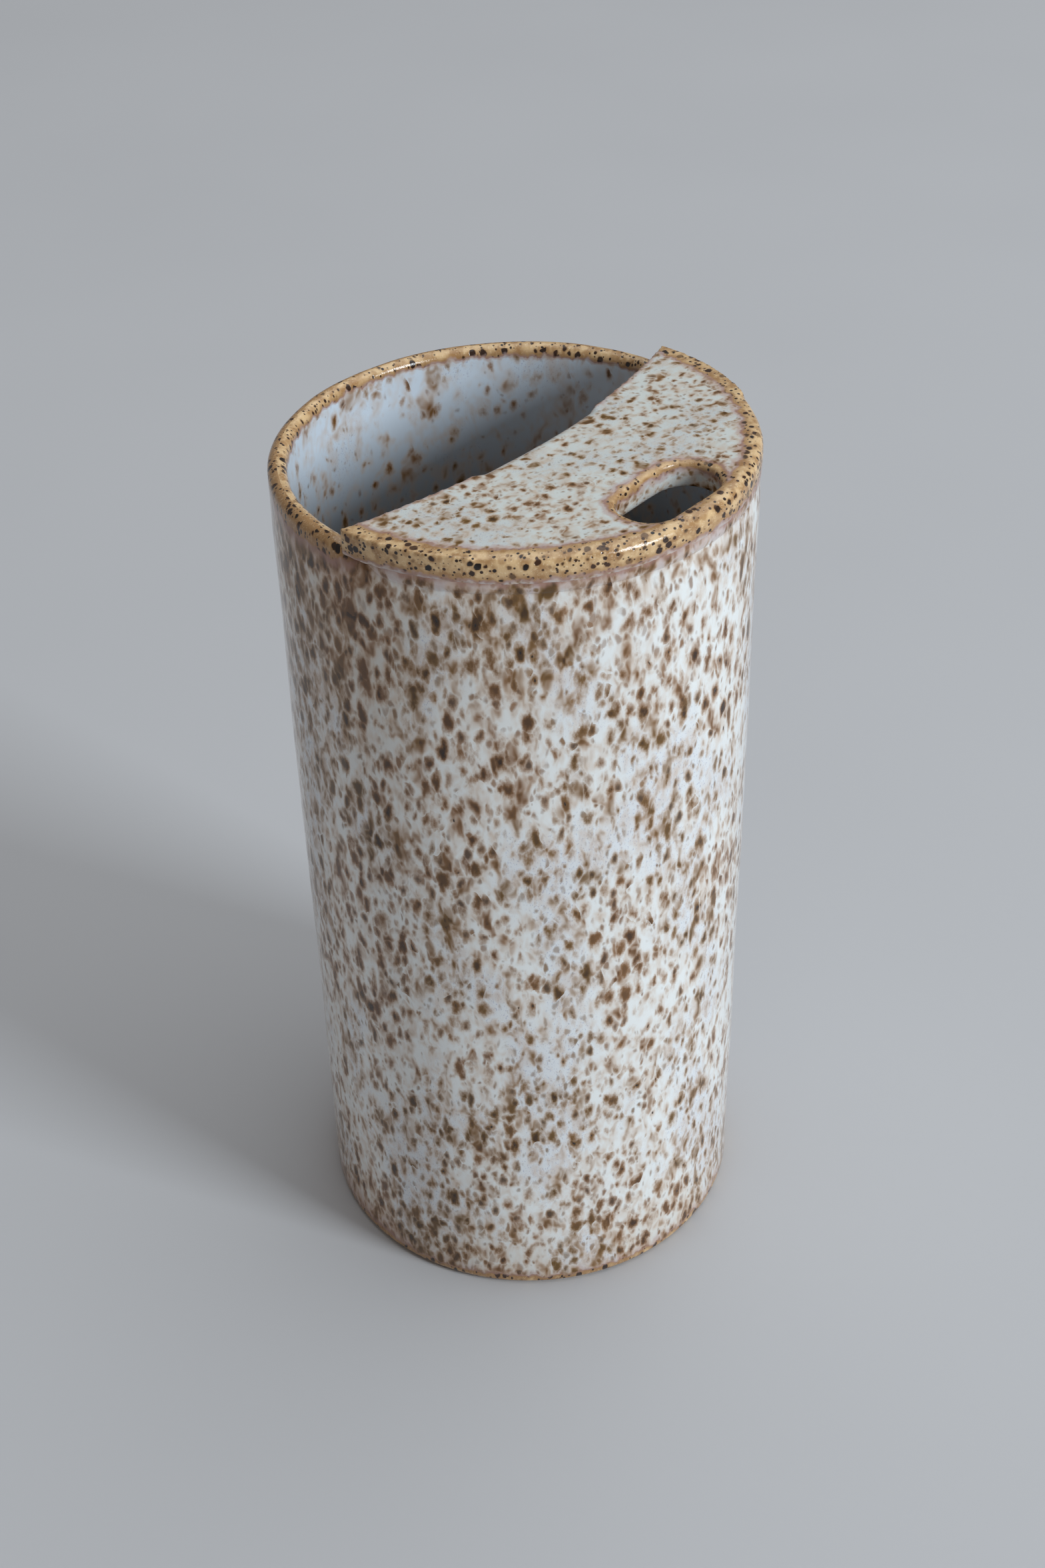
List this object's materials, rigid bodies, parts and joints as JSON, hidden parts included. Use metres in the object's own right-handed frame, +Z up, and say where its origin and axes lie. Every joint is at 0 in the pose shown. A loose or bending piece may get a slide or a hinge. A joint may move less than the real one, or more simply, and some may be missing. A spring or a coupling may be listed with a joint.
{
  "type": "bud vase",
  "caption": "Tall cylindrical stoneware bud vase with a half-moon plate luted over part of its mouth and an oval stem slot through the plate beside the rim.",
  "frame": {"origin": "centre of the foot, on the surface that the vase stands on", "axes": "+Z up the vessel's axis, -Y from the axis towards the stem slot, +X to the right seen from the slot's side"},
  "size_m": [0.08, 0.08, 0.16],
  "materials": {
    "bare_clay": "bare fired stoneware, fine grain",
    "speckled_glaze": "gloss, speckled rust brown, thin and tan at edges",
    "inner_glaze": "gloss, pale blue grey with brown runs",
    "plate_glaze": "gloss, mottled rust brown, thin and tan at edges",
    "pooled_glaze": "gloss, milky blue where the glaze has pooled"
  },
  "bodies": {
    "root": {"base_disc": "bare_clay", "wall_cylinder": "speckled_glaze", "floor_coil": "inner_glaze", "half_moon_plate": "plate_glaze", "seam_glaze": "pooled_glaze"}
  },
  "joints": []
}
